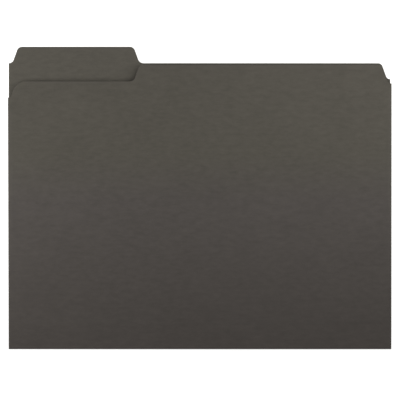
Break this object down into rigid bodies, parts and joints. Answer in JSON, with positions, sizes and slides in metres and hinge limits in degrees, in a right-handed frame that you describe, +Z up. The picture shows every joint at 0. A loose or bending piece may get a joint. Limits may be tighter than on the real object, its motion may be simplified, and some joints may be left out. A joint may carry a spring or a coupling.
{
  "type": "interior file folder",
  "caption": "Thin board file folder with one tab at the upper left, an undercut front flap, rounded shoulders and scores across the bottom.",
  "frame": {"origin": "centre of the folder's footprint, on the plane that the back panel lies on", "axes": "+X to the right along the bottom fold, +Y from the fold towards the tab, +Z up, out of the front flap"},
  "size_m": [0.2954, 0.2334, 0.0077],
  "materials": {
    "board_outside": "matte dark grey coloured board",
    "board_inside": "matte dark grey coloured board",
    "board_crease": "pressed matte board along the scores and the fold"
  },
  "bodies": {
    "back_panel": {"back_panel": "board_inside"},
    "bottom_fold": {"bottom_fold": "board_crease"},
    "bottom_strips": {"score_strip_1": "board_crease", "score_strip_2": "board_crease", "score_strip_3": "board_crease"},
    "front_panel": {"front_panel": "board_outside"}
  },
  "joints": [
    {"name": "main_fold", "type": "hinge", "parent": "bottom_fold", "child": "back_panel", "pos_m": [0, -0.11627, 0.00043], "axis": [-1, 0, 0], "range_deg": [-1.8, 180]},
    {"name": "bottom_expand", "type": "hinge", "parent": "bottom_fold", "child": "bottom_strips", "pos_m": [0, -0.11627, 0.00043], "axis": [-1, 0, 0], "range_deg": [-90, 0]},
    {"name": "score_3", "type": "hinge", "parent": "bottom_strips", "child": "front_panel", "pos_m": [0, -0.09767, 0.0013], "axis": [1, 0, 0], "range_deg": [-90, 0]}
  ],
  "couplings": [
    {"joint": "score_3", "follows": "bottom_expand", "ratio": 1}
  ]
}
